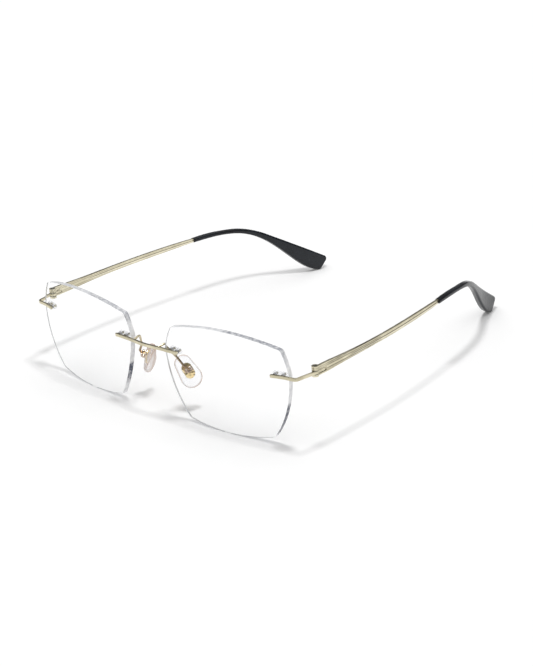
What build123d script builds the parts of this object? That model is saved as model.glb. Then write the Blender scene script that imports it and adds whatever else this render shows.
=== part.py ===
"""Rimless eyeglasses: two drilled lenses joined by a bridge and end pieces, with folding temples.

Frame: X towards the wearer's left, Y back towards the ears, Z up. The glasses stand on the
bottoms of the lenses and of the temple tips, on z = 0, with the origin under their middle.
Lengths are millimetres. Pieces that come in pairs are modelled on the left and mirrored.
"""
import os
from math import cos, radians, sin, sqrt, tan

from build123d import *

os.makedirs("parts", exist_ok=True)

# ---------------------------------------------------------------- front and lenses
front_width = 137.0          # over the corners where the end pieces turn back
mount_height = 27.5          # the bridge and end pieces above the table
lens_width = 56.2
lens_height = 40.0
lens_gap = 18.8              # between the nasal points of the two lenses
lens_thickness = 2.0
lens_curve = 140.0           # radius of the front surface
lens_pole_rise = 2.3         # the front surface's pole above the middle of the outline
lens_corner_radius = 1.2
wrap_angle = 5.8             # each lens is turned back by this much towards its temple
lens_setback = 4.95          # the lens middle stands forward of the front's corners

# ---------------------------------------------------------------- strips, pins and plugs
strip_height = 1.1
strip_thickness = 0.85
strip_seat_gap = 0.06        # the flat strip lies this far off the curved lens
pin_radius = 0.45
pin_spacing = 3.1            # between the two pins of one fitting
pin_proud = 0.2              # how far a pin shows behind its plug
pin_gap = 0.02
nasal_margin = 2.9           # from the lens's nasal point to the first pin
temple_margin = 2.7          # from the lens's temple point to the first pin
bridge_overlap = 1.2         # strip beyond the second pin, on the bridge
end_piece_overlap = 1.25     # and on an end piece
bridge_lift = 0.5            # the bridge stands this much further off a lens at the nose
bridge_bow = 0.8             # the bridge's middle stands forward of its ends
plug_width = 2.1
plug_length = 5.8
plug_thickness = 1.0
plug_seat_gap = 0.12
sleeve_wall = 0.26
sleeve_setback = 0.1         # a sleeve stops this far short of the lens front
lens_hole_gap = 0.03

# ---------------------------------------------------------------- hinges
hinge_inset = 0.75           # hinge axis, outwards from the front's corner
hinge_setback = 9.6          # hinge axis, behind the front's corner
knuckle_radius = 1.25
knuckle_rise = 2.4           # top of the upper knuckle above the middle of the tongue
knuckle_drop = 1.55          # bottom of the lower knuckle below it
tongue_tail = 4.0            # the tongue runs on this far behind the axis
corner_bend = 1.5
screw_radius = 0.5
screw_head_radius = 0.85
screw_head_height = 0.5
screw_slot_width = 0.22
screw_slot_depth = 0.2
running_gap = 0.03
washer_thickness = 0.16

# ---------------------------------------------------------------- temples and tips
temple_offset = 0.62         # the temple's blade, outwards from the hinge axis
temple_thickness = 0.95
temple_length = 74.7         # from the hinge axis to the mouth of the tip
temple_front_height = 3.55
temple_rise = 0.5            # the blade's middle above the strips
temple_tail_height = 1.5
temple_inset = 4.25          # how far the blade has turned in at the mouth of the tip
slot_tail_gap = 0.6          # the fork's slot runs past the tongue by this
groove_depth = 0.12          # one shallow groove along the outer face
groove_width = 0.36
groove_start = 16.0          # behind the hinge axis
groove_stop = 2.0            # ahead of the tip
tip_length = 62.5
tip_inset = 24.0             # how far the temple has turned in at its end
tip_end_slope = 0.22         # sideways for each step back, at the very end
tip_mouth_thickness = 1.7
tip_end_thickness = 3.2
tip_end_top = 4.8            # the upper corner of the squared end above the table
tip_rounding = 0.8
tip_corner_radius = 1.5      # of the squared end, in the side view
core_height = 1.1
core_length = 26.0
core_gap = 0.03

# ---------------------------------------------------------------- nose pads
pad_x = 10.6                 # middle of a pad from the glasses' middle
pad_y = 4.8                  # behind the front's corners
pad_z = 15.4
pad_splay = 18.0             # the pads open towards the face by this much
pad_lean = 24.0              # and towards their lower ends by this much
pad_tilt = 14.0               # their lower ends lie further back
pad_length = 13.4
pad_top_radius = 3.3
pad_bottom_radius = 4.1
pad_thickness = 2.5
pad_rounding = 1.0
pad_core_length = 6.2
pad_core_width = 3.8
pad_core_thickness = 0.5
pad_core_gap = 0.05
pad_core_rise = 0.3          # the core sits above the pad's middle
lug_rise = 1.0               # and so does its lug
lug_width = 1.2
lug_radius = 0.7
box_wall = 0.45
box_gap = 0.12
box_height = 2.0
box_depth = 2.1
box_standoff = 0.3
pad_screw_radius = 0.33
pad_screw_head_radius = 0.68
pad_screw_head_height = 0.4
pad_screw_head_rounding = 0.15
arm_radius = 0.43
arm_root_share = 0.21        # along the bridge's bow, from its end
arm_rise = 0.7               # the arm climbs this far above the bridge before it drops

# ---------------------------------------------------------------- derived places
bridge_front = lens_setback + 1.8
overall_depth = bridge_front + hinge_setback + temple_length + tip_length
front_y = bridge_front - overall_depth / 2     # plane of the corners where the end pieces turn
half_front = front_width / 2
hinge_x = half_front + hinge_inset
hinge_y = front_y + hinge_setback
blade_x = hinge_x + temple_offset
mouth_y = hinge_y + temple_length
tip_end_y = mouth_y + tip_length
half_lens = lens_width / 2
wrap = radians(wrap_angle)
lens_plane = Plane(
    origin=(lens_gap / 2 + half_lens * cos(wrap), front_y - lens_setback, lens_height / 2),
    x_dir=(cos(wrap), sin(wrap), 0),
    z_dir=(sin(wrap), -cos(wrap), 0),
)
sleeve_radius = pin_radius + pin_gap + sleeve_wall
tongue_half = strip_height / 2
slot_half = tongue_half + washer_thickness + 2 * running_gap
level = Plane.XY.offset(mount_height)
blade_z = mount_height + temple_rise


def fitting_plane(u):
    """Upright plane touching the lens front at distance u from its middle, facing forwards."""
    v = mount_height - lens_height / 2
    rise = v - lens_pole_rise
    sag = lens_curve - sqrt(lens_curve**2 - u**2 - rise**2)
    seat = lens_plane.from_local_coords(Vector(u, v, -sag))
    pole = lens_plane.from_local_coords(Vector(0, v, -lens_curve))
    normal = (seat - pole).normalized()
    return Plane(origin=seat, x_dir=(-normal.Y, normal.X, 0), z_dir=(normal.X, normal.Y, 0))


nasal_fitting = fitting_plane(-half_lens + nasal_margin + pin_spacing / 2)
temple_fitting = fitting_plane(half_lens - temple_margin - pin_spacing / 2)
fittings = {"nasal": nasal_fitting, "temple": temple_fitting}


def save(name, piece):
    """Write one piece under its own name."""
    piece.label = name
    export_step(piece, f"parts/{name}.step")


def save_pair(name, left):
    """Write a left piece and its mirror image."""
    save(f"{name}_left", left.part)
    with BuildPart() as right:
        add(mirror(left.part, about=Plane.YZ))
    save(f"{name}_right", right.part)


def on_level(plane, u, forward):
    """Point of a fitting in the level plane: u along the strip, forward off the lens."""
    place = plane.from_local_coords(Vector(u, 0, forward))
    return (place.X, place.Y)


# ---------------------------------------------------------------- lens
def lens_outline():
    """Six sides, each bowed outwards, as shares of the lens's half width and half height."""
    half_high = lens_height / 2
    corners = [(-0.88, 0.82), (0.88, 0.845), (0.995, 0.39)]
    corners += [(0.705, -0.87), (-0.665, -0.91), (-1.0, 0.41)]
    bows = [3.4, 0.35, 2.3, 2.2, 1.9, 0.3]      # how far each side's middle stands out
    points = [Vector(u * half_lens, v * half_high) for u, v in corners]
    for start, end, bow in zip(points, points[1:] + points[:1], bows):
        side = end - start
        outwards = Vector(-side.Y, side.X).normalized()
        ThreePointArc(start, (start + end) * 0.5 + outwards * bow, end)


with BuildPart() as lens:
    with BuildSketch(lens_plane) as lens_face:
        with BuildLine():
            lens_outline()
        make_face()
        fillet(lens_face.vertices(), lens_corner_radius)
    extrude(amount=lens_curve / 10, both=True)
    with Locations(lens_plane.from_local_coords(Vector(0, lens_pole_rise, -lens_curve))):
        Sphere(lens_curve, mode=Mode.INTERSECT)
        Sphere(lens_curve - lens_thickness, mode=Mode.SUBTRACT)
    for fitting in fittings.values():
        with BuildSketch(fitting):
            with GridLocations(pin_spacing, 0, 2, 1):
                Circle(sleeve_radius + lens_hole_gap)
        extrude(amount=2 * lens_thickness, both=True, mode=Mode.SUBTRACT)
save_pair("lens", lens)


# ---------------------------------------------------------------- plugs behind the lenses
def make_plug(fitting):
    """Clear double sleeve: two tubes fill the lens holes, an oblong foot lies behind the lens."""
    foot_front = -lens_thickness - plug_seat_gap
    with BuildPart() as plug:
        with BuildSketch(fitting.offset(foot_front - plug_thickness)):
            SlotOverall(plug_length, plug_width)
        extrude(amount=plug_thickness)
        fillet(plug.faces().sort_by(Axis(fitting.origin, fitting.z_dir))[0].edges(), plug_thickness / 3)
        with BuildSketch(fitting.offset(foot_front)):
            with GridLocations(pin_spacing, 0, 2, 1):
                Circle(sleeve_radius)
        extrude(amount=lens_thickness + plug_seat_gap - sleeve_setback)
        with BuildSketch(fitting.offset(foot_front - 2 * plug_thickness)):
            with GridLocations(pin_spacing, 0, 2, 1):
                Circle(pin_radius + pin_gap)
        extrude(amount=2 * plug_thickness + lens_thickness + plug_seat_gap, mode=Mode.SUBTRACT)
    return plug


for place, fitting in fittings.items():
    save_pair(f"lens_plug_{place}", make_plug(fitting))


# ---------------------------------------------------------------- bridge
def make_pins(fitting, lift):
    """Two pins standing back from a strip, through the lens and its plug.

    A strip that lifts off the lens at one end needs longer pins.
    """
    pin_length = strip_seat_gap + lens_thickness + plug_seat_gap + plug_thickness + pin_proud
    with BuildPart() as pins:
        with BuildSketch(fitting.offset(strip_seat_gap - pin_length)):
            with GridLocations(pin_spacing, 0, 2, 1):
                Circle(pin_radius)
        extrude(amount=pin_length + strip_thickness / 2 + lift / 2)
    return pins.part


strip_middle = strip_seat_gap + strip_thickness / 2
bridge_end = on_level(nasal_fitting, pin_spacing / 2 + bridge_overlap, strip_middle)
bridge_root = on_level(nasal_fitting, -pin_spacing / 2 - bridge_overlap, strip_middle + bridge_lift)
bridge_middle = (0, bridge_root[1] - bridge_bow)

with BuildPart() as bridge:
    with BuildSketch(level):
        with BuildLine():
            left_foot = Line(bridge_end, bridge_root)
            right_foot = Line((-bridge_root[0], bridge_root[1]), (-bridge_end[0], bridge_end[1]))
            foot_lines = (left_foot % 1, right_foot % 0)
            bow = Spline(bridge_root, bridge_middle, right_foot @ 0, tangents=foot_lines)
        trace(line_width=strip_thickness)
    extrude(amount=strip_height / 2, both=True)
    foot_ends = bridge.edges().filter_by(Axis.Z).group_by(Axis.X)
    fillet(foot_ends[0] + foot_ends[-1], strip_thickness * 0.4)
    add(make_pins(nasal_fitting, bridge_lift))
    mirror(about=Plane.YZ)
save("bridge", bridge.part)

# ---------------------------------------------------------------- end pieces
tip_of_strip = on_level(temple_fitting, -pin_spacing / 2 - end_piece_overlap, strip_middle)
foot_of_strip = on_level(temple_fitting, pin_spacing / 2 + bridge_overlap, strip_middle)
front_corner = (half_front - strip_thickness / 4, front_y + strip_thickness / 2)

with BuildPart() as end_piece:
    with BuildSketch(level):
        with BuildLine():
            FilletPolyline(
                tip_of_strip,
                foot_of_strip,
                front_corner,
                (blade_x, hinge_y),
                (blade_x, hinge_y + tongue_tail),
                radius=corner_bend,
            )
        trace(line_width=strip_thickness)
        with Locations((hinge_x, hinge_y)):
            Circle(knuckle_radius)
    extrude(amount=tongue_half, both=True)
    fillet(end_piece.edges().filter_by(Axis.Z).group_by(Axis.X)[0], strip_thickness * 0.4)
    add(make_pins(temple_fitting, 0))
    with BuildSketch(level):
        with Locations((hinge_x, hinge_y)):
            Circle(screw_radius + running_gap)
    extrude(amount=strip_height, both=True, mode=Mode.SUBTRACT)
save_pair("end_piece", end_piece)

# ---------------------------------------------------------------- hinge washers and screw
with BuildPart() as hinge_washers:
    for face in (tongue_half + running_gap, -slot_half + running_gap):
        with BuildSketch(level.offset(face)):
            with Locations((hinge_x, hinge_y)):
                Circle(knuckle_radius)
                Circle(screw_radius + running_gap, mode=Mode.SUBTRACT)
        extrude(amount=washer_thickness)
save_pair("hinge_washers", hinge_washers)

knuckle_top = level.offset(knuckle_rise)
knuckle_foot = level.offset(-knuckle_drop)
with BuildPart() as hinge_screw:
    with BuildSketch(knuckle_foot):
        with Locations((hinge_x, hinge_y)):
            Circle(screw_radius)
    extrude(amount=knuckle_drop + knuckle_rise)
    with BuildSketch(knuckle_top.offset(-screw_head_height)):
        with Locations((hinge_x, hinge_y)):
            Circle(screw_head_radius)
    extrude(amount=screw_head_height)
    with BuildSketch(knuckle_top.offset(-screw_slot_depth)):
        with Locations((hinge_x, hinge_y)):
            Rectangle(2 * screw_head_radius, screw_slot_width)
    extrude(amount=screw_slot_depth, mode=Mode.SUBTRACT)
save_pair("hinge_screw", hinge_screw)


# ---------------------------------------------------------------- temple and tip lines
def plan_line(shift_front, shift_end):
    """The temple seen from above, straight at first and then turning in, moved outwards."""
    path = [
        (0, -knuckle_radius),
        (0, temple_length * 0.4),
        (temple_inset, temple_length),
        (tip_inset * 0.4, temple_length + tip_length * 0.39),
        (tip_inset * 0.815, temple_length + tip_length * 0.76),
        (tip_inset, temple_length + tip_length),
    ]
    span = temple_length + tip_length
    return [
        (blade_x - turned_in + shift_front + (shift_end - shift_front) * along / span, hinge_y + along)
        for turned_in, along in path
    ]


def plan_band(inner_front, inner_end, outer_front, outer_end):
    """Face between two lines at these distances outwards from the blade's middle, from above."""
    with BuildSketch(Plane.XY) as band:
        with BuildLine():
            inner = plan_line(inner_front, inner_end)
            outer = plan_line(outer_front, outer_end)
            for side in (inner, outer):
                Spline(side, tangents=((0, 1), (-tip_end_slope, 1)))
            Line(outer[0], inner[0])
            Line(outer[-1], inner[-1])
        make_face()
    return band.sketch


def side_strip(along, upper, lower):
    """Face in the side view between two smooth lines, their heights taken from the blade's middle."""
    upper_points = [(y, blade_z + z) for y, z in zip(along, upper)]
    lower_points = [(y, blade_z + z) for y, z in zip(along, lower)]
    with BuildSketch(Plane.YZ) as strip:
        with BuildLine():
            Spline(upper_points)
            Spline(lower_points)
            Line(upper_points[0], lower_points[0])
            Line(upper_points[-1], lower_points[-1])
        make_face()
    return strip.sketch


blade_heights = [1.0, 1.02, 0.87, 0.67, temple_tail_height / temple_front_height]
blade_stations = [hinge_y + temple_length * share for share in (-0.004, 0.08, 0.16, 0.36, 1.0)]
blade_halves = [temple_front_height / 2 * share for share in blade_heights]
core_stations = [mouth_y + core_length * share for share in (-0.04, 0.4, 0.7, 1.0)]
core_middles = [-0.15, -0.3, -0.95, -2.5]


def make_core(gap):
    """The thin end of the blade that runs into the tip, larger all round by a gap."""
    half = core_height / 2 + gap
    half_thick = temple_thickness / 2 + gap
    with BuildPart() as core:
        extrude(plan_band(-half_thick, -half_thick, half_thick, half_thick), amount=2 * mount_height)
        tops = [z + half for z in core_middles]
        bottoms = [z - half for z in core_middles]
        extrude(side_strip(core_stations, tops, bottoms), amount=front_width, mode=Mode.INTERSECT)
    return core.part


# ---------------------------------------------------------------- temple
half_blade = temple_thickness / 2
groove_floor = half_blade - groove_depth
groove_plan = plan_band(groove_floor, groove_floor, half_blade + groove_depth, half_blade + groove_depth)
with BuildPart() as groove:
    with BuildSketch(Plane.YZ):
        with Locations(((hinge_y + groove_start + mouth_y - groove_stop) / 2, blade_z)):
            SlotOverall(temple_length - groove_start - groove_stop, groove_width)
    extrude(amount=front_width)
    extrude(groove_plan, amount=2 * mount_height, mode=Mode.INTERSECT)

with BuildPart() as temple:
    extrude(plan_band(-half_blade, -half_blade, half_blade, half_blade), amount=2 * mount_height)
    blade_side = side_strip(blade_stations, blade_halves, [-half for half in blade_halves])
    extrude(blade_side, amount=front_width, mode=Mode.INTERSECT)
    with BuildSketch(knuckle_foot):
        with Locations((hinge_x, hinge_y)):
            Circle(knuckle_radius)
    extrude(amount=knuckle_drop + knuckle_rise)
    slot_length = tongue_tail + slot_tail_gap + 2 * knuckle_radius
    with BuildSketch(level):
        with Locations((hinge_x, hinge_y + slot_length / 2 - 2 * knuckle_radius)):
            Rectangle(6 * knuckle_radius, slot_length)
    extrude(amount=slot_half, both=True, mode=Mode.SUBTRACT)
    with BuildSketch(level):
        with Locations((hinge_x, hinge_y)):
            Circle(screw_radius + running_gap)
    extrude(amount=2 * knuckle_rise, both=True, mode=Mode.SUBTRACT)
    with BuildSketch(knuckle_top.offset(-screw_head_height - running_gap)):
        with Locations((hinge_x, hinge_y)):
            Circle(screw_head_radius + running_gap)
    extrude(amount=2 * screw_head_height, mode=Mode.SUBTRACT)
    add(make_core(0))
    add(groove.part, mode=Mode.SUBTRACT)
save_pair("temple", temple)

# ---------------------------------------------------------------- temple tip
half_mouth = tip_mouth_thickness / 2
half_end = tip_end_thickness / 2
over = [(0, 0.031), (0.15, 0.028), (0.27, 0.003), (0.38, -0.036), (0.47, -0.105), (0.56, -0.212)]
under = [(0, -0.033), (0.15, -0.04), (0.27, -0.062), (0.385, -0.115), (0.51, -0.25)]
heel = [(0.635, -0.485), (0.76, -0.77), (0.86, -0.945), (0.93, -1.005)]

with BuildPart() as temple_tip:
    extrude(plan_band(-half_mouth, -half_end, half_mouth, half_end), amount=2 * mount_height)
    with BuildSketch(Plane.YZ) as tip_side:
        with BuildLine():
            upper = [(mouth_y + tip_length * back, blade_z * (1 + up)) for back, up in over]
            lower = [(mouth_y + tip_length * back, blade_z * (1 + up)) for back, up in under + heel]
            Spline(upper)
            Polyline(upper[-1], (tip_end_y, tip_end_top), lower[-1])
            Spline(lower)
            Line(lower[0], upper[0])
        make_face()
        end_corners = tip_side.vertices().sort_by(Axis.X)[-2:]
        fillet(end_corners, tip_corner_radius)
    extrude(amount=front_width, mode=Mode.INTERSECT)
    mouth = temple_tip.faces().sort_by(Axis.Y)[0]
    fillet(temple_tip.edges() - mouth.edges(), tip_rounding)
    add(make_core(core_gap), mode=Mode.SUBTRACT)
save_pair("temple_tip", temple_tip)

# ---------------------------------------------------------------- nose pads and their arms
upwards = Vector(-tan(radians(pad_lean)), -tan(radians(pad_tilt)), 1).normalized()
towards_nose = Vector(-cos(radians(pad_splay)), sin(radians(pad_splay)), 0)
pad_normal = (towards_nose - upwards * towards_nose.dot(upwards)).normalized()
pad_plane = Plane(
    origin=(pad_x, front_y + pad_y, pad_z),
    x_dir=upwards.cross(pad_normal),
    z_dir=pad_normal,
)
pad_back = -pad_thickness / 2
box_mouth = pad_back - box_standoff
screw_depth = box_mouth - lug_radius - box_gap
box_width = lug_width + 2 * (box_gap + box_wall)
lug_plane = Plane(
    origin=pad_plane.from_local_coords(Vector(0, lug_rise, 0)),
    x_dir=pad_plane.y_dir,
    z_dir=pad_plane.x_dir,
)                            # x up the pad, y towards the nose, z along the pad's screw

with BuildPart() as nose_pad:
    with BuildSketch(pad_plane.offset(pad_back)):
        with Locations((0, pad_length / 2 - pad_top_radius)):
            Circle(pad_top_radius)
        with Locations((0, pad_bottom_radius - pad_length / 2)):
            Circle(pad_bottom_radius)
        make_hull()
    extrude(amount=pad_thickness)
    fillet(nose_pad.edges(), pad_rounding)
    with BuildSketch(pad_plane.offset(pad_back - pad_thickness)):
        with Locations((0, pad_core_rise)):
            SlotOverall(pad_core_length + 2 * pad_core_gap, pad_core_width + 2 * pad_core_gap, rotation=90)
    extrude(amount=pad_thickness + pad_core_thickness + pad_core_gap, mode=Mode.SUBTRACT)
save_pair("nose_pad", nose_pad)

with BuildPart() as pad_core:
    with BuildSketch(pad_plane.offset(pad_back)):
        with Locations((0, pad_core_rise)):
            SlotOverall(pad_core_length, pad_core_width, rotation=90)
    extrude(amount=pad_core_thickness)
    with BuildSketch(lug_plane):
        with Locations((0, screw_depth)):
            Circle(lug_radius)
        with Locations((0, (screw_depth + pad_back) / 2)):
            Rectangle(2 * lug_radius, pad_back - screw_depth)
        with Locations((0, screw_depth)):
            Circle(pad_screw_radius + running_gap, mode=Mode.SUBTRACT)
    extrude(amount=lug_width / 2, both=True)
save_pair("pad_core", pad_core)

with BuildPart() as pad_box:
    with BuildSketch(lug_plane):
        with Locations((0, box_mouth - box_depth / 2)):
            Rectangle(box_height, box_depth)
    extrude(amount=box_width / 2, both=True)
    box_block = pad_box.part
    fillet(pad_box.faces().sort_by(Axis(pad_plane.origin, pad_normal))[0].edges(), box_wall * 0.9)
    with BuildSketch(lug_plane):
        with Locations((0, box_mouth - (box_depth - box_wall) / 2)):
            Rectangle(2 * box_height, box_depth - box_wall)
    extrude(amount=box_width / 2 - box_wall, both=True, mode=Mode.SUBTRACT)
    with BuildSketch(lug_plane):
        with Locations((0, screw_depth)):
            Circle(pad_screw_radius + running_gap)
    extrude(amount=box_width, both=True, mode=Mode.SUBTRACT)
save_pair("pad_box", pad_box)

with BuildPart() as pad_screw:
    with BuildSketch(lug_plane):
        with Locations((0, screw_depth)):
            Circle(pad_screw_radius)
    extrude(amount=box_width / 2, both=True)
    with BuildSketch(lug_plane.offset(box_width / 2 + running_gap)):
        with Locations((0, screw_depth)):
            Circle(pad_screw_head_radius)
    extrude(amount=pad_screw_head_height)
    head_face = pad_screw.faces().sort_by(Axis(pad_plane.origin, pad_plane.x_dir))[-1]
    fillet(head_face.edges(), pad_screw_head_rounding)
    with BuildSketch(lug_plane.offset(box_width / 2)):
        with Locations((0, screw_depth)):
            Circle(pad_screw_radius)
    extrude(amount=running_gap)
save_pair("pad_screw", pad_screw)

arm_end = lug_plane.from_local_coords(Vector(0, box_mouth - box_depth + box_wall / 2, 0))
arm_root = bow @ arm_root_share
arm_path = [
    (arm_root.X, arm_root.Y, mount_height),
    (arm_root.X + 0.7, front_y - 2.4, mount_height + arm_rise),
    (arm_root.X + 3.5, front_y + 0.6, mount_height - 4.8),
    (arm_end.X - 0.9, front_y + 1.5, mount_height - 8.2),
    tuple(arm_end),
]
with BuildPart() as pad_arm:
    with BuildLine() as arm_line:
        FilletPolyline(arm_path, radius=[1.9, 2.0, 1.0])
    with BuildSketch(Plane(origin=arm_line.line @ 0, z_dir=arm_line.line % 0)):
        Circle(arm_radius)
    sweep()
    add(bridge.part, mode=Mode.SUBTRACT)
    add(box_block, mode=Mode.SUBTRACT)
save_pair("pad_arm", pad_arm)
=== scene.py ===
"""Rimless eyeglasses: the looks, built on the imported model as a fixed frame.

Each sub-assembly of the glasses is a class with its own sizes, and each finish is a class
that makes one material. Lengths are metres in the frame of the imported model: +X towards the
wearer's left, +Y back along the open temples, +Z up, with the glasses standing on z = 0.
"""

import logging
import math
from dataclasses import dataclass
from enum import Enum
from typing import Callable, Dict, List, Optional, Sequence, Tuple, Union

import bpy
from mathutils import Matrix, Vector


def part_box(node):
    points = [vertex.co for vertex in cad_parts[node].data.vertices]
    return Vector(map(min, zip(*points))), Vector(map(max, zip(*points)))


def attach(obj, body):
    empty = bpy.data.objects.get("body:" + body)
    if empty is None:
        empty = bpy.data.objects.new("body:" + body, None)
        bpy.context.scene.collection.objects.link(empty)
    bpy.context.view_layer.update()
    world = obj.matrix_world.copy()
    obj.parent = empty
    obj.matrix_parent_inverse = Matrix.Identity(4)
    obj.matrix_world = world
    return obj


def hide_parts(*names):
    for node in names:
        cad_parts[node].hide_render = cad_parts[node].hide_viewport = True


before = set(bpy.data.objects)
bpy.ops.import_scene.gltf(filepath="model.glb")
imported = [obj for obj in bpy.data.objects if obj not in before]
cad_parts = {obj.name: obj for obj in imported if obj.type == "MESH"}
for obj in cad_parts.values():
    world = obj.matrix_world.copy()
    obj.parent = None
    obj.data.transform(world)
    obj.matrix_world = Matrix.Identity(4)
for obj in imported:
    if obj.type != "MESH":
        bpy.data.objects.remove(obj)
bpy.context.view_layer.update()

MM = 0.001
MERGE_DISTANCE = 0.0002 * MM
SMOOTH_ROUND = 35.0
SMOOTH_METAL = 40.0
SHARP_EDGE = 50.0
LOG = logging.getLogger("eyeglasses")
Value = Union[float, "Wire"]
Colour = Tuple[float, float, float]


class Side(Enum):
    """The wearer's left is +X."""

    LEFT = "left"
    RIGHT = "right"

    @property
    def sign(self) -> int:
        """+1 on the wearer's left and -1 on the right."""
        return 1 if self is Side.LEFT else -1


class Slot(Enum):
    """Material slots of the record."""

    LENS = "lens"
    PLUG = "clear_plug"
    METAL = "frame_metal"
    TIP = "tip_plastic"
    CORE = "pad_core"
    SILICONE = "pad_silicone"


class Body(Enum):
    """Rigid bodies of the record; the paired ones are completed with a side."""

    FRONT = "front"
    TEMPLE = "temple_assembly"
    PAD = "pad"

    def of(self, side: Optional[Side] = None) -> str:
        """The body's name in the record, on that side if it is one of a pair."""
        return self.value if side is None else f"{self.value}_{side.value}"


# ---------------------------------------------------------------- shader expressions
class Wire:
    """An output socket that can be used in Python arithmetic."""

    def __init__(self, graph: "Graph", socket: bpy.types.NodeSocket) -> None:
        """Wraps one output socket of a node tree."""
        self.graph = graph
        self.socket = socket

    def _math(self, operation: str, *values: Value) -> "Wire":
        """Adds a Math node that works on the given values in order."""
        inputs = dict(enumerate(values))
        return self.graph.wire("ShaderNodeMath", {"operation": operation}, inputs)

    def __add__(self, other: Value) -> "Wire":
        """self + other."""
        return self._math("ADD", self, other)

    def __radd__(self, other: Value) -> "Wire":
        """other + self."""
        return self._math("ADD", other, self)

    def __sub__(self, other: Value) -> "Wire":
        """self - other."""
        return self._math("SUBTRACT", self, other)

    def __rsub__(self, other: Value) -> "Wire":
        """other - self."""
        return self._math("SUBTRACT", other, self)

    def __mul__(self, other: Value) -> "Wire":
        """self * other."""
        return self._math("MULTIPLY", self, other)

    def __rmul__(self, other: Value) -> "Wire":
        """other * self."""
        return self._math("MULTIPLY", other, self)

    def __truediv__(self, other: Value) -> "Wire":
        """self / other."""
        return self._math("DIVIDE", self, other)

    def __pow__(self, other: Value) -> "Wire":
        """self ** other."""
        return self._math("POWER", self, other)

    def __rtruediv__(self, other: Value) -> "Wire":
        """other / self."""
        return self._math("DIVIDE", other, self)

    def size(self) -> "Wire":
        """The value without its sign."""
        return self._math("ABSOLUTE", self)

    def between(self, low: float, high: float) -> "Wire":
        """0 at low, 1 at high, smooth and level outside.

        Args:
            low: The value that gives 0.
            high: The value that gives 1; it may be less than low.

        Returns:
            The eased share.
        """
        settings = {"interpolation_type": "SMOOTHSTEP"}
        inputs: Dict[Union[int, str], object] = {"Value": self}
        if low < high:
            inputs.update({"From Min": low, "From Max": high, "To Min": 0.0, "To Max": 1.0})
        else:
            inputs.update({"From Min": high, "From Max": low, "To Min": 1.0, "To Max": 0.0})
        return self.graph.wire("ShaderNodeMapRange", settings, inputs)


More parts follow.
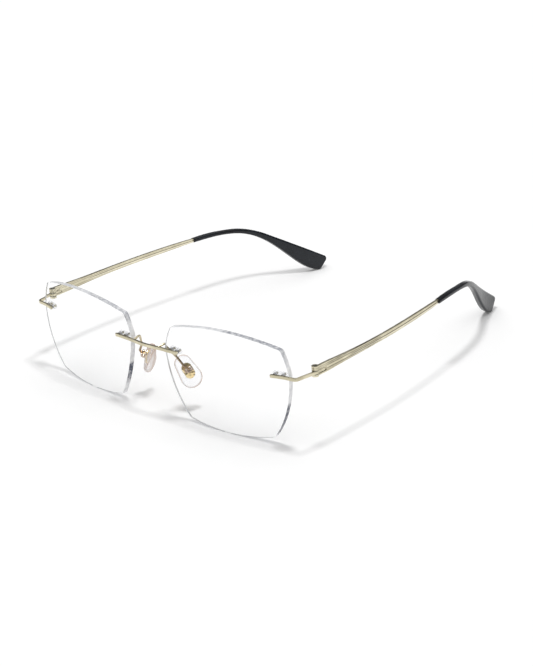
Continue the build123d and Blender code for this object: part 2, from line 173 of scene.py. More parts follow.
class Graph:
    """The node tree of one material or world, filled through one method."""

    def __init__(self, tree: bpy.types.NodeTree) -> None:
        """Empties the tree.

        Args:
            tree: The node tree to fill.
        """
        self.tree = tree
        self.tree.nodes.clear()

    def node(
        self,
        kind: str,
        settings: Optional[Dict[str, object]] = None,
        inputs: Optional[Dict[Union[int, str], object]] = None,
    ) -> bpy.types.Node:
        """Adds any node.

        Args:
            kind: The node's type name.
            settings: Attributes that are set first; "stops" fills a colour ramp.
            inputs: Values or wires for input sockets, by name or place.

        Returns:
            The new node.
        """
        made = self.tree.nodes.new(kind)
        for name, value in (settings or {}).items():
            if name == "stops":
                self._fill_ramp(made, value)
            else:
                setattr(made, name, value)
        for name, value in (inputs or {}).items():
            socket = made.inputs[name]
            if isinstance(value, Wire):
                self.tree.links.new(value.socket, socket)
            elif isinstance(value, bpy.types.NodeSocket):
                self.tree.links.new(value, socket)
            else:
                socket.default_value = value
        return made

    @staticmethod
    def _fill_ramp(ramp: bpy.types.Node, stops: Sequence[Tuple[float, Colour]]) -> None:
        """Sets a colour ramp's stops."""
        elements = ramp.color_ramp.elements
        while len(elements) > len(stops):
            elements.remove(elements[-1])
        while len(elements) < len(stops):
            elements.new(1.0)
        for element, (place, colour) in zip(elements, stops):
            element.position = place
            element.color = (*colour, 1.0)

    def wire(
        self,
        kind: str,
        settings: Optional[Dict[str, object]] = None,
        inputs: Optional[Dict[Union[int, str], object]] = None,
        output: Union[int, str] = 0,
    ) -> Wire:
        """Adds a node and wraps one of its outputs."""
        return Wire(self, self.node(kind, settings, inputs).outputs[output])

    def place(self) -> Wire:
        """Object coordinates, which are the frame's own metres on every piece."""
        return self.wire("ShaderNodeTexCoord", output="Object")

    def axis(self, place: Wire, name: str) -> Wire:
        """One coordinate of a vector: X, Y or Z."""
        return self.wire("ShaderNodeSeparateXYZ", inputs={0: place}, output=name)

    def noise(self, place: Wire, per_metre: float, detail: float = 3.0, stretch: Colour = (1, 1, 1)) -> Wire:
        """Noise from 0 to 1.

        Args:
            place: Where the noise is read.
            per_metre: How many features there are in a metre.
            detail: Octaves of the noise.
            stretch: Scale along each axis.

        Returns:
            The noise value.
        """
        moved = self.wire("ShaderNodeMapping", inputs={"Vector": place, "Scale": stretch})
        inputs = {"Vector": moved, "Scale": per_metre, "Detail": detail}
        return self.wire("ShaderNodeTexNoise", inputs=inputs)

    def mix(self, share: Value, first: object, second: object) -> Wire:
        """A colour between two others.

        Args:
            share: 0 gives the first colour and 1 the second.
            first: A colour or a wire.
            second: A colour or a wire.

        Returns:
            The mixed colour.
        """
        made = self.tree.nodes.new("ShaderNodeMix")
        made.data_type = "RGBA"
        sockets = {"Factor_Float": share, "A_Color": first, "B_Color": second}
        for socket in made.inputs:
            value = sockets.get(socket.identifier)
            if value is None:
                continue
            if isinstance(value, Wire):
                self.tree.links.new(value.socket, socket)
            elif isinstance(value, tuple):
                socket.default_value = (*value[:3], 1.0)
            else:
                socket.default_value = value
        result = next(s for s in made.outputs if s.identifier == "Result_Color")
        return Wire(self, result)

    def bump(self, height: Wire, depth: float) -> Wire:
        """A normal from a height that runs from 0 to 1 over this depth in metres."""
        inputs = {"Height": height, "Distance": depth}
        return self.wire("ShaderNodeBump", inputs=inputs, output="Normal")

    def blend(self, share: Value, first: bpy.types.Node, second: bpy.types.Node) -> bpy.types.Node:
        """A shader between two others; 0 gives the first and 1 the second."""
        inputs = {0: share, 1: first.outputs[0], 2: second.outputs[0]}
        return self.node("ShaderNodeMixShader", inputs=inputs)

    def shaded(self, seen: bpy.types.Node, shade: Colour) -> bpy.types.Node:
        """A clear shader that lets a lamp's light through, less this shade.

        Args:
            seen: What the eye sees.
            shade: The share of the lamp's light that passes.

        Returns:
            The shader for both.
        """
        open_way = self.node("ShaderNodeBsdfTransparent", inputs={"Color": (*shade, 1.0)})
        lamp_ray = self.wire("ShaderNodeLightPath", output="Is Shadow Ray")
        return self.blend(lamp_ray, seen, open_way)

    def surface(self, shader: bpy.types.NodeSocket) -> None:
        """Ends a material's tree with this shader."""
        self.node("ShaderNodeOutputMaterial", inputs={"Surface": shader})


def new_material(name: str) -> Tuple[bpy.types.Material, Graph]:
    """A material with an empty node tree."""
    material = bpy.data.materials.new(name)
    material.use_nodes = True
    return material, Graph(material.node_tree)


# ---------------------------------------------------------------- finishes
class Finish:
    """What every finish can do: make its material once and hand it out again."""

    name: str

    def material(self) -> bpy.types.Material:
        """The finish's material, made on first use."""
        found = bpy.data.materials.get(self.name)
        return found if found is not None else self.build()

    def build(self) -> bpy.types.Material:
        """Makes the material."""
        raise NotImplementedError


@dataclass(frozen=True)
class SatinMetal(Finish):
    """Plated metal with a fine lengthwise grain and slightly uneven plating."""

    name: str
    light: Colour
    dark: Colour
    roughness: float
    grain_depth: float
    grain_stretch: Colour = (900.0, 30.0, 900.0)
    grain_scale: float = 4.0
    cloud_scale: float = 160.0
    worn_from: float = 0.35
    worn_to: float = 0.68

    def build(self) -> bpy.types.Material:
        """Makes the plated metal."""
        material, graph = new_material(self.name)
        place = graph.place()
        grain = graph.noise(place, self.grain_scale, 2.0, self.grain_stretch)
        cloud = graph.noise(place, self.cloud_scale, 2.0)
        worn = (0.8 * cloud + 0.2 * grain).between(self.worn_from, self.worn_to)
        colour = graph.mix(worn, self.dark, self.light)
        shader = graph.node(
            "ShaderNodeBsdfPrincipled",
            inputs={
                "Base Color": self.tone_and_painted_light(graph, place, colour),
                "Metallic": 1.0,
                "Roughness": self.roughness + 0.14 * (grain - 0.5) + 0.08 * (cloud - 0.5),
                "Normal": graph.bump(grain, self.grain_depth),
            },
        )
        graph.surface(shader.outputs[0])
        return material

    def tone_and_painted_light(self, graph: Graph, place: Wire, colour: Wire) -> Wire:
        """The plating's colour, on which subclasses lay a tone or painted light and shade; here it is left
        as it is.

        Args:
            graph: The material's tree.
            place: Object coordinates.
            colour: The plating's colour.

        Returns:
            The colour to use.
        """
        return colour


@dataclass(frozen=True)
class RibbedMetal(SatinMetal):
    """Temple plating with painted shade in its grooves and under its lower edge, and a painted highlight on
    its ridge.
    """

    middle: float = 0.028
    lines: Tuple[float, ...] = ()
    half_width: float = 0.0001
    fade_from: float = 0.0
    fade_to: float = 0.0
    # colour of the painted shade on the rib lines, the middle groove and the faces that look down
    shade: Colour = (0.2, 0.17, 0.11)
    share: float = 0.75
    groove_half: float = 0.0002
    groove_from: float = 0.0
    ridge_drop: float = 0.0004
    # colour of the painted highlight along the ridge
    ridge_highlight: Colour = (0.98, 0.93, 0.76)
    groove_fade: float = 4.0 * MM

    def tone_and_painted_light(self, graph: Graph, place: Wire, colour: Wire) -> Wire:
        """The plating's colour with painted shade along its grooves and under its lower edge, and a painted
        highlight on its ridge.
        """
        height = graph.axis(place, "Z")
        along = graph.axis(place, "Y")
        near = along.between(self.fade_to, self.fade_from)
        # painted shade: a dark line along each rib near the hinge, fading out further back
        rib_shade: Value = 0.0
        for line in self.lines:
            rib_shade = (height - (self.middle + line)).size().between(self.half_width, 0.0) + rib_shade
        # painted shade along the middle groove, and a painted highlight on the ridge just below it, from the
        # groove's start backwards
        behind = along.between(self.groove_from, self.groove_from + self.groove_fade)
        above_middle = height - self.middle
        groove = above_middle.size().between(self.groove_half, 0.0) * behind
        ridge = (above_middle + self.ridge_drop).size().between(self.groove_half, 0.0) * behind
        # painted shade on the faces that look down, under the lower edge
        looks = graph.wire("ShaderNodeNewGeometry", output="Normal")
        under = graph.axis(looks, "Z").between(-0.2, -0.6)
        bright = graph.mix(ridge, colour, self.ridge_highlight)
        painted_shade_share = self.share * (rib_shade * near) + groove + 0.85 * under
        return graph.mix(painted_shade_share, bright, self.shade)


@dataclass(frozen=True)
class PaintedReflectionTopMetal(SatinMetal):
    """Plating with a painted dark reflection along the top of its middle."""

    # colour of the painted dark reflection
    top: Colour = (0.12, 0.11, 0.075)
    reach: float = 8.0 * MM
    share: float = 0.7

    def tone_and_painted_light(self, graph: Graph, place: Wire, colour: Wire) -> Wire:
        """The plating's colour with a painted dark reflection where it looks up near the middle."""
        # painted reflection: faces that look up near the middle are darkened
        looks = graph.wire("ShaderNodeNewGeometry", output="Normal")
        up_facing_reflection = graph.axis(looks, "Z").between(0.45, 0.8)
        middle = graph.axis(place, "X").size().between(self.reach, self.reach - 2.0 * MM)
        return graph.mix(self.share * up_facing_reflection * middle, colour, self.top)


@dataclass(frozen=True)
class WarmingMetal(SatinMetal):
    """Plating that turns a warmer brown towards its lower end."""

    warm: Colour = (0.3, 0.17, 0.09)
    warm_top: float = 0.026
    warm_foot: float = 0.019

    def tone_and_painted_light(self, graph: Graph, place: Wire, colour: Wire) -> Wire:
        """The plating's colour, browner as it comes down."""
        height = graph.axis(place, "Z")
        return graph.mix(0.8 * height.between(self.warm_top, self.warm_foot), colour, self.warm)


@dataclass(frozen=True)
class ClearFace(Finish):
    """A polished, coated lens face: it bends light and keeps only a faint gloss.

    The shade is what one face takes from the lamp's light.
    """

    name: str
    gloss: float
    shade: Colour
    tint: Colour = (0.998, 0.999, 1.0)
    ior: float = 1.5
    head_on: float = 0.04

    def build(self) -> bpy.types.Material:
        """Makes the lens face."""
        material, graph = new_material(self.name)
        film = graph.noise(graph.place(), 90.0, 3.0)
        facing = graph.wire("ShaderNodeLayerWeight", inputs={"Blend": 0.5}, output="Facing")
        shine = self.head_on + (1.0 - self.head_on) * facing**5
        gloss = graph.node(
            "ShaderNodeBsdfPrincipled",
            inputs={
                "Base Color": graph.mix(film, (0.82, 0.9, 0.86), (0.88, 0.88, 0.95)),
                "Metallic": 1.0,
                "Roughness": 0.02 + 0.03 * film,
            },
        )
        clear = graph.node(
            "ShaderNodeBsdfRefraction",
            inputs={"Color": (*self.tint, 1.0), "Roughness": 0.0, "IOR": self.ior},
        )
        seen = graph.blend(shine * self.gloss, clear, gloss)
        graph.surface(graph.shaded(seen, self.shade).outputs[0])
        return material


@dataclass(frozen=True)
class ClearSolid(Finish):
    """Clear stuff that shows as pale grey where light has to cross much of it.

    Seen face on it is nearly open, and towards its outline it closes up. The shade is what one
    of its surfaces takes from the lamp's light.
    """

    name: str
    pale: Colour
    deep: Colour
    open_share: float
    edge_share: float
    roughness: float
    shade: Colour
    streak: float = 500.0
    uneven: float = 0.16
    blend: float = 0.35
    power: float = 1.0
    ripple: float = 0.01 * MM

    def build(self) -> bpy.types.Material:
        """Makes the clear stuff."""
        material, graph = new_material(self.name)
        place = graph.place()
        streak = graph.noise(place, self.streak, 3.0)
        cloud = graph.noise(place, self.streak / 5, 2.0)
        facing = graph.wire("ShaderNodeLayerWeight", inputs={"Blend": self.blend}, output="Facing")
        body = graph.node(
            "ShaderNodeBsdfPrincipled",
            inputs={
                "Base Color": self.colour(graph, place, streak),
                "Roughness": self.roughness + 0.12 * cloud,
                "IOR": 1.5,
                "Normal": graph.bump(cloud, self.ripple),
            },
        )
        clear = graph.node("ShaderNodeBsdfTransparent", inputs={"Color": (0.99, 0.992, 1.0, 1.0)})
        spread = self.edge_share - self.open_share
        closed = self.open_share + spread * facing**self.power + self.uneven * (streak - 0.5)
        seen = graph.blend(self.closing(graph, place, closed), clear, body)
        graph.surface(graph.shaded(seen, self.shade).outputs[0])
        return material

    def colour(self, graph: Graph, place: Wire, streak: Wire) -> Wire:
        """The grey of the stuff, with lighter and darker streaks."""
        return graph.mix(streak.between(0.38, 0.62), self.deep, self.pale)

    def closing(self, graph: Graph, place: Wire, closed: Wire) -> Wire:
        """How far the stuff hides what is behind it."""
        return closed


@dataclass(frozen=True)
class Stretch:
    """A box across the front and in height where a rim looks different.

    One share paints it blue-grey as a painted reflection of dark surroundings; the closed share is added to
    how much it hides.
    """

    low_x: float
    high_x: float
    low_z: float
    high_z: float
    dark_reflection: float
    closed: float
    soft: float = 1.5 * MM

    def inside(self, across: Wire, height: Wire) -> Wire:
        """1 inside the box and 0 outside it."""
        wide = across.between(self.low_x - self.soft, self.low_x + self.soft)
        wide = wide * across.between(self.high_x + self.soft, self.high_x - self.soft)
        tall = height.between(self.low_z - self.soft, self.low_z + self.soft)
        return wide * tall * height.between(self.high_z + self.soft, self.high_z - self.soft)


@dataclass(frozen=True)
class RimGlass(ClearSolid):
    """A lens rim, ground and polished, with deep blue-grey stretches of painted dark reflection and clearer
    ones.
    """

    stretches: Tuple[Stretch, ...] = ()
    # colour of the painted dark reflection in the stretches
    dark_reflection_colour: Colour = (0.05, 0.06, 0.1)

    def _sum(self, graph: Graph, place: Wire, what: str) -> Value:
        """The painted-reflection or closed shares of all stretches at a place, added up."""
        across = graph.axis(place, "X")
        height = graph.axis(place, "Z")
        total: Value = 0.0
        for stretch in self.stretches:
            total = getattr(stretch, what) * stretch.inside(across, height) + total
        return total

    def colour(self, graph: Graph, place: Wire, streak: Wire) -> Wire:
        """The rim's grey, with a painted deep blue-grey reflection in its stretches."""
        pale = graph.mix(streak.between(0.38, 0.62), self.deep, self.pale)
        broken = 0.55 + 0.45 * graph.noise(place, 900.0, 2.0).between(0.4, 0.6)
        return graph.mix(self._sum(graph, place, "dark_reflection") * broken, pale, self.dark_reflection_colour)

    def closing(self, graph: Graph, place: Wire, closed: Wire) -> Wire:
        """The rim hides more in its deep stretches and less in its clear ones."""
        return closed + self._sum(graph, place, "closed")


@dataclass(frozen=True)
class SatinPlastic(Finish):
    """Dark moulded plastic: fine pebbling, a soft sheen and faint clouding."""

    name: str
    dark: Colour
    light: Colour
    roughness: float
    ior: float
    pebble_depth: float
    grain_turn: float = 0.0
    grain_from: float = 0.0
    grain_to: float = 1.0

    def build(self) -> bpy.types.Material:
        """Makes the moulded plastic."""
        material, graph = new_material(self.name)
        place = graph.place()
        turned = graph.wire(
            "ShaderNodeMapping",
            inputs={"Vector": place, "Rotation": (self.grain_turn, 0.0, 0.0), "Scale": (1.0, 0.035, 1.0)},
        )
        lines = graph.noise(turned, 1500.0, 1.0).between(0.4, 0.6)
        lines = lines * graph.axis(place, "Y").between(self.grain_from, self.grain_to)
        cloud = graph.noise(place, 90.0, 3.0)
        pebble = graph.noise(place, 2600.0, 2.0)
        speck = graph.noise(place, 5200.0, 1.0).between(0.62, 0.8)
        shade = (0.75 * cloud + 0.25 * pebble).between(0.35, 0.7)
        shader = graph.node(
            "ShaderNodeBsdfPrincipled",
            inputs={
                "Base Color": graph.mix(shade + 0.8 * lines, self.dark, self.light),
                "Roughness": self.roughness + 0.12 * (cloud - 0.5) + 0.06 * speck,
                "IOR": self.ior,
                "Normal": graph.bump(pebble + 2.0 * lines, self.pebble_depth),
            },
        )
        graph.surface(shader.outputs[0])
        return material


@dataclass(frozen=True)
class Paper(Finish):
    """The pale seamless floor, which stays as bright far off as it is under the lamp."""

    name: str
    light: Colour
    dark: Colour
    lamp: Colour
    glow: float

    def build(self) -> bpy.types.Material:
        """Makes the floor."""
        material, graph = new_material(self.name)
        place = graph.place()
        cloud = graph.noise(place, 1.5, 2.0)
        across = graph.axis(place, "X") - self.lamp[0]
        along = graph.axis(place, "Y") - self.lamp[1]
        rise = self.lamp[2] ** 2
        near = rise / (across * across + along * along + rise)
        shader = graph.node(
            "ShaderNodeBsdfPrincipled",
            inputs={
                "Base Color": graph.mix(cloud, self.dark, self.light),
                "Roughness": 0.9,
                "Specular IOR Level": 0.0,
                "Emission Color": graph.mix(near * near, (self.glow,) * 3, (0.0, 0.0, 0.0)),
                "Emission Strength": 1.0,
            },
        )
        graph.surface(shader.outputs[0])
        return material


LAMP_PLACE = (0.058, -0.048, 0.354)
LAMP_GLOW = 0.43
RIBS = (-1.2 * MM, -0.6 * MM, 0.6 * MM, 1.2 * MM)
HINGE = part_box("hinge_screw_left")
HINGE_Y = (HINGE[0][1] + HINGE[1][1]) / 2
MOUTH_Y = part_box("temple_tip_left")[0][1]
BLADE_Z = 28.0 * MM
BLADE_X = 69.87 * MM

FINE_GRAIN = 0.006 * MM
CHAMPAGNE = SatinMetal(
    name="champagne_plating",
    light=(0.74, 0.68, 0.5),
    dark=(0.56, 0.51, 0.36),
    roughness=0.3,
    grain_depth=FINE_GRAIN,
)
# Painted dark reflection along the top of the bridge's middle.
BRIDGE_METAL = PaintedReflectionTopMetal(
    name="champagne_bridge",
    light=CHAMPAGNE.light,
    dark=CHAMPAGNE.dark,
    roughness=CHAMPAGNE.roughness,
    grain_depth=FINE_GRAIN,
)
# Painted shade along the ribs, the middle groove and the underside, and a painted highlight on the ridge.
BLADE_METAL = RibbedMetal(
    name="champagne_blade",
    light=(0.78, 0.73, 0.55),
    dark=(0.6, 0.55, 0.4),
    roughness=0.3,
    grain_depth=FINE_GRAIN,
    middle=BLADE_Z,
    lines=RIBS,
    half_width=0.18 * MM,
    fade_from=HINGE_Y + 24 * MM,
    fade_to=HINGE_Y + 38 * MM,
    groove_half=0.24 * MM,
    groove_from=HINGE_Y + 17 * MM,
)
ARM_METAL = WarmingMetal(
    name="warm_arm",
    light=(0.74, 0.66, 0.47),
    dark=(0.52, 0.45, 0.31),
    roughness=0.3,
    grain_depth=FINE_GRAIN,
    grain_stretch=(400.0, 400.0, 400.0),
)
BOX_METAL = SatinMetal(
    name="warm_box",
    light=(1.0, 0.93, 0.84),
    dark=(0.5, 0.36, 0.27),
    roughness=0.14,
    grain_depth=0.4 * MM,
    grain_stretch=(220.0, 220.0, 220.0),
)
GOLD = SatinMetal(
    name="gold_core",
    light=(1.0, 0.89, 0.58),
    dark=(0.9, 0.7, 0.36),
    roughness=0.14,
    grain_depth=0.4 * MM,
    grain_stretch=(180.0, 180.0, 180.0),
)
STEEL = SatinMetal(
    name="bright_screw",
    light=(0.62, 0.58, 0.48),
    dark=(0.4, 0.37, 0.3),
    roughness=0.25,
    grain_depth=0.005 * MM,
)
LENS_CLEAR = ClearFace(name="lens_clear", gloss=0.25, shade=(0.95, 0.95, 0.953))
RIM_SHADE = (0.38, 0.38, 0.39)
CLEAR_STRETCHES = (
    Stretch(0.0060, 0.0170, -0.0050, 0.0350, dark_reflection=0.12, closed=-0.3),
    Stretch(-0.0750, -0.0560, -0.0050, 0.0350, dark_reflection=0.12, closed=-0.3),
)
# The rim's stretches paint deep blue-grey reflections of dark surroundings by place, on the nasal and temple
# sides and along the tops; the last two are clearer.
LENS_EDGE = RimGlass(
    name="lens_edge",
    pale=(0.97, 0.97, 0.975),
    deep=(0.84, 0.85, 0.87),
    open_share=0.93,
    edge_share=0.98,
    roughness=0.15,
    shade=RIM_SHADE,
    uneven=0.1,
    stretches=(
        Stretch(0.0570, 0.0700, 0.0035, 0.0165, dark_reflection=1.3, closed=0.1),
        Stretch(-0.0145, -0.0075, 0.0070, 0.0165, dark_reflection=1.2, closed=0.1),
        Stretch(0.0100, 0.0620, 0.0325, 0.0450, dark_reflection=0.35, closed=0.05),
        Stretch(0.0380, 0.0640, 0.0325, 0.0450, dark_reflection=0.35, closed=0.0),
        Stretch(-0.0620, -0.0100, 0.0325, 0.0450, dark_reflection=0.3, closed=0.05),
        Stretch(-0.0320, -0.0100, 0.0325, 0.0450, dark_reflection=0.25, closed=0.0),
        *CLEAR_STRETCHES,
    ),
)
# The arrises' dark greys are painted: they stand in for the dark edge lines that reflection and refraction
# draw at the chamfers.
LENS_ARRIS = RimGlass(
    name="lens_arris",
    pale=(0.2, 0.21, 0.23),
    deep=(0.08, 0.085, 0.1),
    open_share=0.75,
    edge_share=0.95,
    roughness=0.1,
    shade=RIM_SHADE,
    stretches=CLEAR_STRETCHES,
)
PLUG_CLEAR = ClearSolid(
    name="plug_clear",
    pale=(0.99, 0.99, 0.99),
    deep=(0.88, 0.89, 0.91),
    open_share=0.1,
    edge_share=0.6,
    roughness=0.08,
    shade=(0.75, 0.75, 0.76),
    streak=1100.0,
    uneven=0.08,
    blend=0.5,
    power=2.0,
)
SILICONE = ClearSolid(
    name="clear_silicone",
    pale=(0.84, 0.76, 0.72),
    deep=(0.58, 0.38, 0.27),
    open_share=0.02,
    edge_share=1.5,
    roughness=0.1,
    shade=(0.6, 0.59, 0.58),
    streak=120.0,
    uneven=0.05,
    blend=0.5,
    power=1.6,
)
DARK_TIP = SatinPlastic(
    name="dark_tip",
    dark=(0.003, 0.004, 0.006),
    light=(0.011, 0.014, 0.019),
    roughness=0.2,
    ior=1.39,
    pebble_depth=0.008 * MM,
    grain_turn=math.radians(33.0),
    grain_from=MOUTH_Y + 18 * MM,
    grain_to=MOUTH_Y + 28 * MM,
)
DARK_WASHER = SatinPlastic(
    name="dark_washer",
    dark=(0.015, 0.015, 0.014),
    light=(0.04, 0.038, 0.03),
    roughness=0.5,
    ior=1.4,
    pebble_depth=0.01 * MM,
)
FLOOR = Paper(
    name="pale_floor",
    light=(0.935, 0.935, 0.935),
    dark=(0.925, 0.925, 0.925),
    lamp=LAMP_PLACE,
    glow=LAMP_GLOW,
)


# ---------------------------------------------------------------- mesh work
class Bench:
    """Helpers for work on one object at a time with Blender's own operators."""

    @staticmethod
    def hold(piece: bpy.types.Object) -> None:
        """Selects this object alone and makes it active."""
        bpy.ops.object.select_all(action="DESELECT")
        piece.select_set(True)
        bpy.context.view_layer.objects.active = piece

    @staticmethod
    def copy_of(node: str, name: str) -> bpy.types.Object:
        """A free copy of a CAD node's mesh with its loose triangles merged.

        Args:
            node: The CAD node.
            name: The copy's name.

        Returns:
            The new object, in object mode.
        """
        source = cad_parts[node]
        piece = bpy.data.objects.new(name, source.data.copy())
        piece.data.name = name
        piece.data.materials.clear()
        bpy.context.scene.collection.objects.link(piece)
        Bench.hold(piece)
        if piece.data.has_custom_normals:
            bpy.ops.mesh.customdata_custom_splitnormals_clear()
        bpy.ops.object.mode_set(mode="EDIT")
        bpy.ops.mesh.select_all(action="SELECT")
        bpy.ops.mesh.remove_doubles(threshold=MERGE_DISTANCE)
        bpy.ops.object.mode_set(mode="OBJECT")
        return piece

    @staticmethod
    def flatten(piece: bpy.types.Object, degrees: float) -> None:
        """Joins triangles that lie in one plane, to within this angle."""
        Bench.hold(piece)
        bpy.ops.object.mode_set(mode="EDIT")
        bpy.ops.mesh.select_all(action="SELECT")
        bpy.ops.mesh.dissolve_limited(angle_limit=math.radians(degrees))
        bpy.ops.object.mode_set(mode="OBJECT")

    @staticmethod
    def apply(piece: bpy.types.Object, kind: str, settings: Dict[str, object]) -> None:
        """Adds a modifier with these settings and applies it."""
        Bench.hold(piece)
        modifier = piece.modifiers.new(kind.title(), kind)
        for name, value in settings.items():
            setattr(modifier, name, value)
        bpy.ops.object.modifier_apply(modifier=modifier.name)

    @staticmethod
    def soften(piece: bpy.types.Object, width: float, degrees: float, segments: int = 2) -> None:
        """Rounds every edge sharper than an angle."""
        settings = {
            "width": width,
            "segments": segments,
            "limit_method": "ANGLE",
            "angle_limit": math.radians(degrees),
            "use_clamp_overlap": True,
            "harden_normals": False,
        }
        Bench.apply(piece, "BEVEL", settings)

    @staticmethod
    def smooth(piece: bpy.types.Object, degrees: float) -> None:
        """Shades the piece smooth, apart from edges sharper than this angle."""
        Bench.hold(piece)
        bpy.ops.object.shade_smooth_by_angle(angle=math.radians(degrees))

    @staticmethod
    def cut(place: Colour, normal: Colour) -> None:
        """Cuts the mesh being edited along a plane and keeps both sides."""
        bpy.ops.mesh.select_all(action="SELECT")
        bpy.ops.mesh.bisect(plane_co=place, plane_no=normal)

    @staticmethod
    def pick(piece: bpy.types.Object, wanted: Callable[[Vector], bool]) -> int:
        """Selects the vertices that a test on their place picks, ready for edit mode.

        Args:
            piece: The object.
            wanted: Takes a vertex's place and says whether to select it.

        Returns:
            How many were selected.
        """
        Bench.hold(piece)
        bpy.ops.object.mode_set(mode="EDIT")
        bpy.ops.mesh.select_mode(type="VERT")
        bpy.ops.mesh.select_all(action="DESELECT")
        bpy.ops.object.mode_set(mode="OBJECT")
        count = 0
        for vertex in piece.data.vertices:
            vertex.select = wanted(vertex.co)
            count += vertex.select
        return count


def finish_piece(
    piece: bpy.types.Object,
    finish: Finish,
    slot: Slot,
    body: str,
    *nodes: str,
) -> bpy.types.Object:
    """Gives a piece its material and its body, and hides the CAD nodes it stands for.

    Args:
        piece: The modelled object.
        finish: Its finish, used unless it already has materials.
        slot: Its material slot in the record; not used.
        body: The rigid body it rides on.
        nodes: The CAD nodes it replaces.

    Returns:
        The same object.
    """
    if not piece.data.materials:
        piece.data.materials.append(finish.material())
    if nodes:
        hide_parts(*nodes)
    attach(piece, body)
    LOG.info("%s: %d faces on %s", piece.name, len(piece.data.polygons), body)
    return piece


def dress_node(node: str, finish: Finish) -> None:
    """Gives a CAD node, kept as it is, a better material."""
    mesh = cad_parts[node].data
    mesh.materials.clear()
    mesh.materials.append(finish.material())
    LOG.info("%s: kept from the CAD", node)


# ---------------------------------------------------------------- sub-assemblies
@dataclass
class Lens:
    """One clear lens with its ground rim and two chamfered arrises."""

    side: Side
    chamfer: float = 0.18 * MM
    rim_turn: float = 50.0
    rim_below: float = 0.5
    face_above: float = 0.93
    front_below: float = -0.6

    def build(self) -> bpy.types.Object:
        """Makes the lens with chamfered rim edges and finishes for its rim and arrises.

        Returns:
            The finished lens.
        """
        node = f"lens_{self.side.value}"
        piece = Bench.copy_of(node, f"lens_clear_{self.side.value}")
        Bench.soften(piece, self.chamfer, self.rim_turn, 1)
        for finish in (LENS_CLEAR, LENS_EDGE, LENS_ARRIS):
            piece.data.materials.append(finish.material())
        self._mark_rim(piece)
        Bench.smooth(piece, SMOOTH_ROUND)
        return finish_piece(piece, LENS_CLEAR, Slot.LENS, Body.FRONT.of(), node)

    def _mark_rim(self, piece: bpy.types.Object) -> None:
        """Tells the lens's faces, its rim and its arrises apart by the way they look."""
        facing = self._facing(piece)
        for face in piece.data.polygons:
            share = abs(face.normal.dot(facing))
            face.material_index = 1 if share < self.rim_below else 0 if share > self.face_above else 2

    def _facing(self, piece: bpy.types.Object) -> Vector:
        """The direction the lens looks in, weighed over its faces that look forwards."""
        total = Vector((0.0, 0.0, 0.0))
        for face in piece.data.polygons:
            if face.normal.y < self.front_below:
                total += face.normal * face.area
        return total.normalized()


@dataclass
class Plug:
    """One clear double sleeve behind a lens."""

    place: str
    side: Side

    def build(self) -> bpy.types.Object:
        """Makes the plug and shades its round walls smooth."""
        node = f"lens_plug_{self.place}_{self.side.value}"
        piece = Bench.copy_of(node, f"sleeve_{self.place}_{self.side.value}")
        Bench.smooth(piece, SMOOTH_ROUND)
        return finish_piece(piece, PLUG_CLEAR, Slot.PLUG, Body.FRONT.of(), node)


@dataclass
class FrontMetal:
    """The bridge, end pieces, pad arms and pad boxes."""

    edge: float = 0.09 * MM
    flat_turn: float = 0.5

    def build(self) -> List[bpy.types.Object]:
        """Makes each metal piece of the front with softened edges."""
        made = [self._strip("bridge", "bridge_strip", BRIDGE_METAL)]
        for side in Side:
            made.append(self._strip(f"end_piece_{side.value}", f"end_strip_{side.value}", CHAMPAGNE))
            made.append(self._strip(f"pad_arm_{side.value}", f"arm_wire_{side.value}", ARM_METAL))
            made.append(self._strip(f"pad_box_{side.value}", f"box_{side.value}", BOX_METAL))
            dress_node(f"pad_screw_{side.value}", BOX_METAL)
        return made

    def _strip(self, node: str, name: str, finish: Finish) -> bpy.types.Object:
        """One metal piece, refined from its node."""
        piece = Bench.copy_of(node, name)
        Bench.flatten(piece, self.flat_turn)
        Bench.soften(piece, self.edge, SHARP_EDGE)
        Bench.smooth(piece, SMOOTH_METAL)
        return finish_piece(piece, finish, Slot.METAL, Body.FRONT.of(), node)


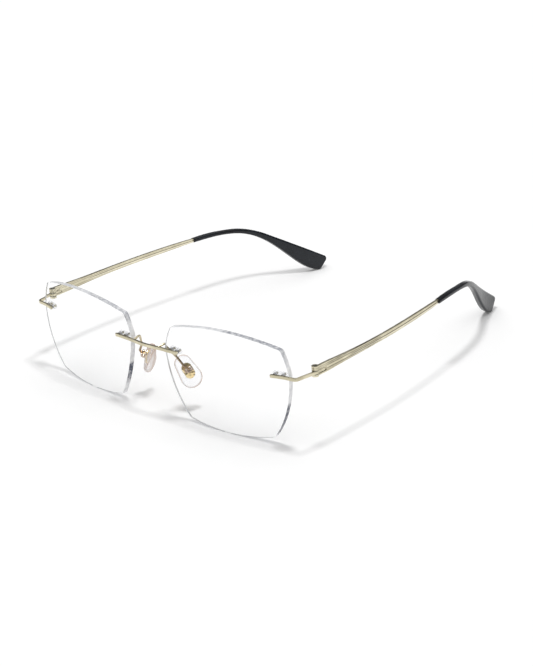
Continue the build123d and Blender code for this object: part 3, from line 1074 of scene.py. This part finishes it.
@dataclass
class Temple:
    """One temple: the ribbed metal blade, the dark tip, and the hinge hardware."""

    side: Side
    edge: float = 0.14 * MM
    rib_depth: float = 0.07 * MM
    rib_half: float = 0.15 * MM
    rib_start: float = 5.4 * MM
    rib_ends: Tuple[float, ...] = (18.0 * MM, 36.0 * MM, 36.0 * MM, 18.0 * MM)
    station: float = 2.0 * MM
    flat_turn: float = 0.3
    edge_turn: float = 55.0
    blade_turn: float = 22.0
    tip_turn: float = 32.0
    reach: float = 0.1 * MM
    row_reach: float = 0.01 * MM

    def build(self) -> List[bpy.types.Object]:
        """Makes the blade and the tip, and dresses the screw and the washers."""
        blade = self._blade()
        tip = self._tip()
        dress_node(f"hinge_screw_{self.side.value}", STEEL)
        dress_node(f"hinge_washers_{self.side.value}", DARK_WASHER)
        return [blade, tip]

    def _blade(self) -> bpy.types.Object:
        """The blade with fine grooves along its outer face behind the hinge."""
        node = f"temple_{self.side.value}"
        piece = Bench.copy_of(node, f"blade_{self.side.value}")
        Bench.flatten(piece, self.flat_turn)
        self._groove(piece)
        Bench.soften(piece, self.edge, self.edge_turn)
        Bench.smooth(piece, self.blade_turn)
        return finish_piece(piece, BLADE_METAL, Slot.METAL, Body.TEMPLE.of(self.side), node)

    def _groove(self, piece: bpy.types.Object) -> None:
        """Cuts the outer face along each groove and presses the cut's middle in."""
        Bench.hold(piece)
        bpy.ops.object.mode_set(mode="EDIT")
        for line in RIBS:
            for step in (-self.rib_half, 0.0, self.rib_half):
                Bench.cut((0.0, 0.0, BLADE_Z + line + step), (0.0, 0.0, 1.0))
        count = int(max(self.rib_ends) / self.station)
        for number in range(count + 1):
            Bench.cut((0.0, HINGE_Y + self.rib_start + number * self.station, 0.0), (0.0, 1.0, 0.0))
        bpy.ops.object.mode_set(mode="OBJECT")
        outer = BLADE_X - self.reach
        start = HINGE_Y + self.rib_start - self.reach
        for line, length in zip(RIBS, self.rib_ends):
            found = Bench.pick(
                piece,
                lambda at: abs(at.z - BLADE_Z - line) < self.row_reach
                and self.side.sign * at.x > outer
                and start < at.y < HINGE_Y + length,
            )
            LOG.info("groove at %.1f mm: %d points", line / MM, found)
            bpy.ops.object.mode_set(mode="EDIT")
            bpy.ops.transform.translate(value=(-self.side.sign * self.rib_depth, 0.0, 0.0))
            bpy.ops.object.mode_set(mode="OBJECT")

    def _tip(self) -> bpy.types.Object:
        """The dark tip."""
        node = f"temple_tip_{self.side.value}"
        piece = Bench.copy_of(node, f"tip_{self.side.value}")
        Bench.smooth(piece, self.tip_turn)
        return finish_piece(piece, DARK_TIP, Slot.TIP, Body.TEMPLE.of(self.side), node)


@dataclass
class NosePad:
    """One soft clear pad on its gold core."""

    side: Side
    voxel: float = 0.22 * MM
    smoothing: int = 14
    pad_turn: float = 60.0
    core_edge: float = 0.06 * MM

    def build(self) -> List[bpy.types.Object]:
        """Makes the soft pad and its core."""
        return [self._pad(), self._core()]

    def _pad(self) -> bpy.types.Object:
        """The pad: the moulded shape remeshed and eased until its face is crowned."""
        node = f"nose_pad_{self.side.value}"
        piece = Bench.copy_of(node, f"soft_pad_{self.side.value}")
        Bench.apply(piece, "REMESH", {"mode": "VOXEL", "voxel_size": self.voxel})
        Bench.hold(piece)
        bpy.ops.object.mode_set(mode="EDIT")
        bpy.ops.mesh.select_all(action="SELECT")
        bpy.ops.mesh.vertices_smooth(factor=0.5, repeat=self.smoothing)
        bpy.ops.object.mode_set(mode="OBJECT")
        Bench.smooth(piece, self.pad_turn)
        return finish_piece(piece, SILICONE, Slot.SILICONE, Body.PAD.of(self.side), node)

    def _core(self) -> bpy.types.Object:
        """The core's plate and lug."""
        node = f"pad_core_{self.side.value}"
        piece = Bench.copy_of(node, f"core_{self.side.value}")
        Bench.soften(piece, self.core_edge, SHARP_EDGE)
        Bench.smooth(piece, SMOOTH_METAL)
        return finish_piece(piece, GOLD, Slot.CORE, Body.PAD.of(self.side), node)


# ---------------------------------------------------------------- studio
@dataclass
class Studio:
    """Pale floor, one soft overhead lamp and an even soft surround."""

    floor_size: float = 6.0
    lamp_size: float = 0.055
    paper: float = 0.93
    surround: float = 1.03

    def build(self) -> None:
        """Makes the floor, the lamp and the surround."""
        self._floor()
        self._lamp()
        self._surround()
        bpy.context.scene.view_settings.view_transform = "Standard"

    def _floor(self) -> None:
        """A large plane the glasses stand on."""
        bpy.ops.object.select_all(action="DESELECT")
        bpy.ops.mesh.primitive_plane_add(size=self.floor_size, location=(0.0, 0.0, 0.0))
        floor = bpy.context.active_object
        floor.name = "floor"
        floor.data.materials.append(FLOOR.material())

    def _lamp(self) -> None:
        """The soft lamp above the front of the glasses, as strong as the floor's glow needs."""
        data = bpy.data.lights.new("soft_lamp", "AREA")
        data.shape = "DISK"
        data.size = self.lamp_size
        data.energy = LAMP_GLOW * math.pi**2 * LAMP_PLACE[2] ** 2 / self.paper
        lamp = bpy.data.objects.new("soft_lamp", data)
        lamp.location = LAMP_PLACE
        lamp.visible_camera = False
        bpy.context.scene.collection.objects.link(lamp)

    def _surround(self) -> None:
        """White overhead, dim round the horizon in reflections, and white to the eye."""
        world = bpy.data.worlds.new("surround")
        world.use_nodes = True
        bpy.context.scene.world = world
        graph = Graph(world.node_tree)
        place = graph.wire("ShaderNodeTexCoord", output="Generated")
        height = graph.axis(place, "Z")
        stops = [
            (0.0, (1.0, 1.0, 1.0)),
            (0.495, (1.0, 1.0, 1.0)),
            (0.505, (0.2, 0.2, 0.2)),
            (0.8, (0.16, 0.16, 0.16)),
            (0.875, (1.0, 1.0, 1.0)),
            (1.0, (1.02, 1.02, 1.02)),
        ]
        ramp = graph.wire("ShaderNodeValToRGB", {"stops": stops}, {0: 0.5 + 0.5 * height})
        camera_ray = graph.wire("ShaderNodeLightPath", output="Is Camera Ray")
        colour = graph.mix(camera_ray, ramp, (1.0, 1.0, 1.0))
        shade = graph.node("ShaderNodeBackground", inputs={"Color": colour, "Strength": self.surround})
        graph.node("ShaderNodeOutputWorld", inputs={"Surface": shade.outputs[0]})


@dataclass
class Viewpoint:
    """The camera: where it stands, the way it looks and how much it takes in."""

    place: Vector = Vector((0.426899, -0.448517, 0.261373))
    right: Vector = Vector((0.73319421, 0.67626439, -0.07136339))
    up: Vector = Vector((-0.2110736, 0.32608195, 0.92147626))
    focal_mm: float = 89.914
    sensor_mm: float = 36.0
    clip_near: float = 0.01
    clip_far: float = 20.0

    def build(self) -> bpy.types.Object:
        """Makes the scene's camera."""
        data = bpy.data.cameras.new("camera")
        data.sensor_width = self.sensor_mm
        data.lens = self.focal_mm
        data.clip_start = self.clip_near
        data.clip_end = self.clip_far
        camera = bpy.data.objects.new("camera", data)
        back = self.right.cross(self.up)
        turn = Matrix((self.right, self.up, back)).transposed().to_4x4()
        camera.matrix_world = Matrix.Translation(self.place) @ turn
        bpy.context.scene.collection.objects.link(camera)
        bpy.context.scene.camera = camera
        return camera


def main() -> None:
    """Builds the studio, then every sub-assembly in order."""
    logging.basicConfig(level=logging.INFO, format="%(name)s: %(message)s")
    Viewpoint().build()
    Studio().build()
    FrontMetal().build()
    for side in Side:
        Lens(side).build()
        for place in ("nasal", "temple"):
            Plug(place, side).build()
        Temple(side).build()
        NosePad(side).build()


if __name__ == "__main__":
    main()
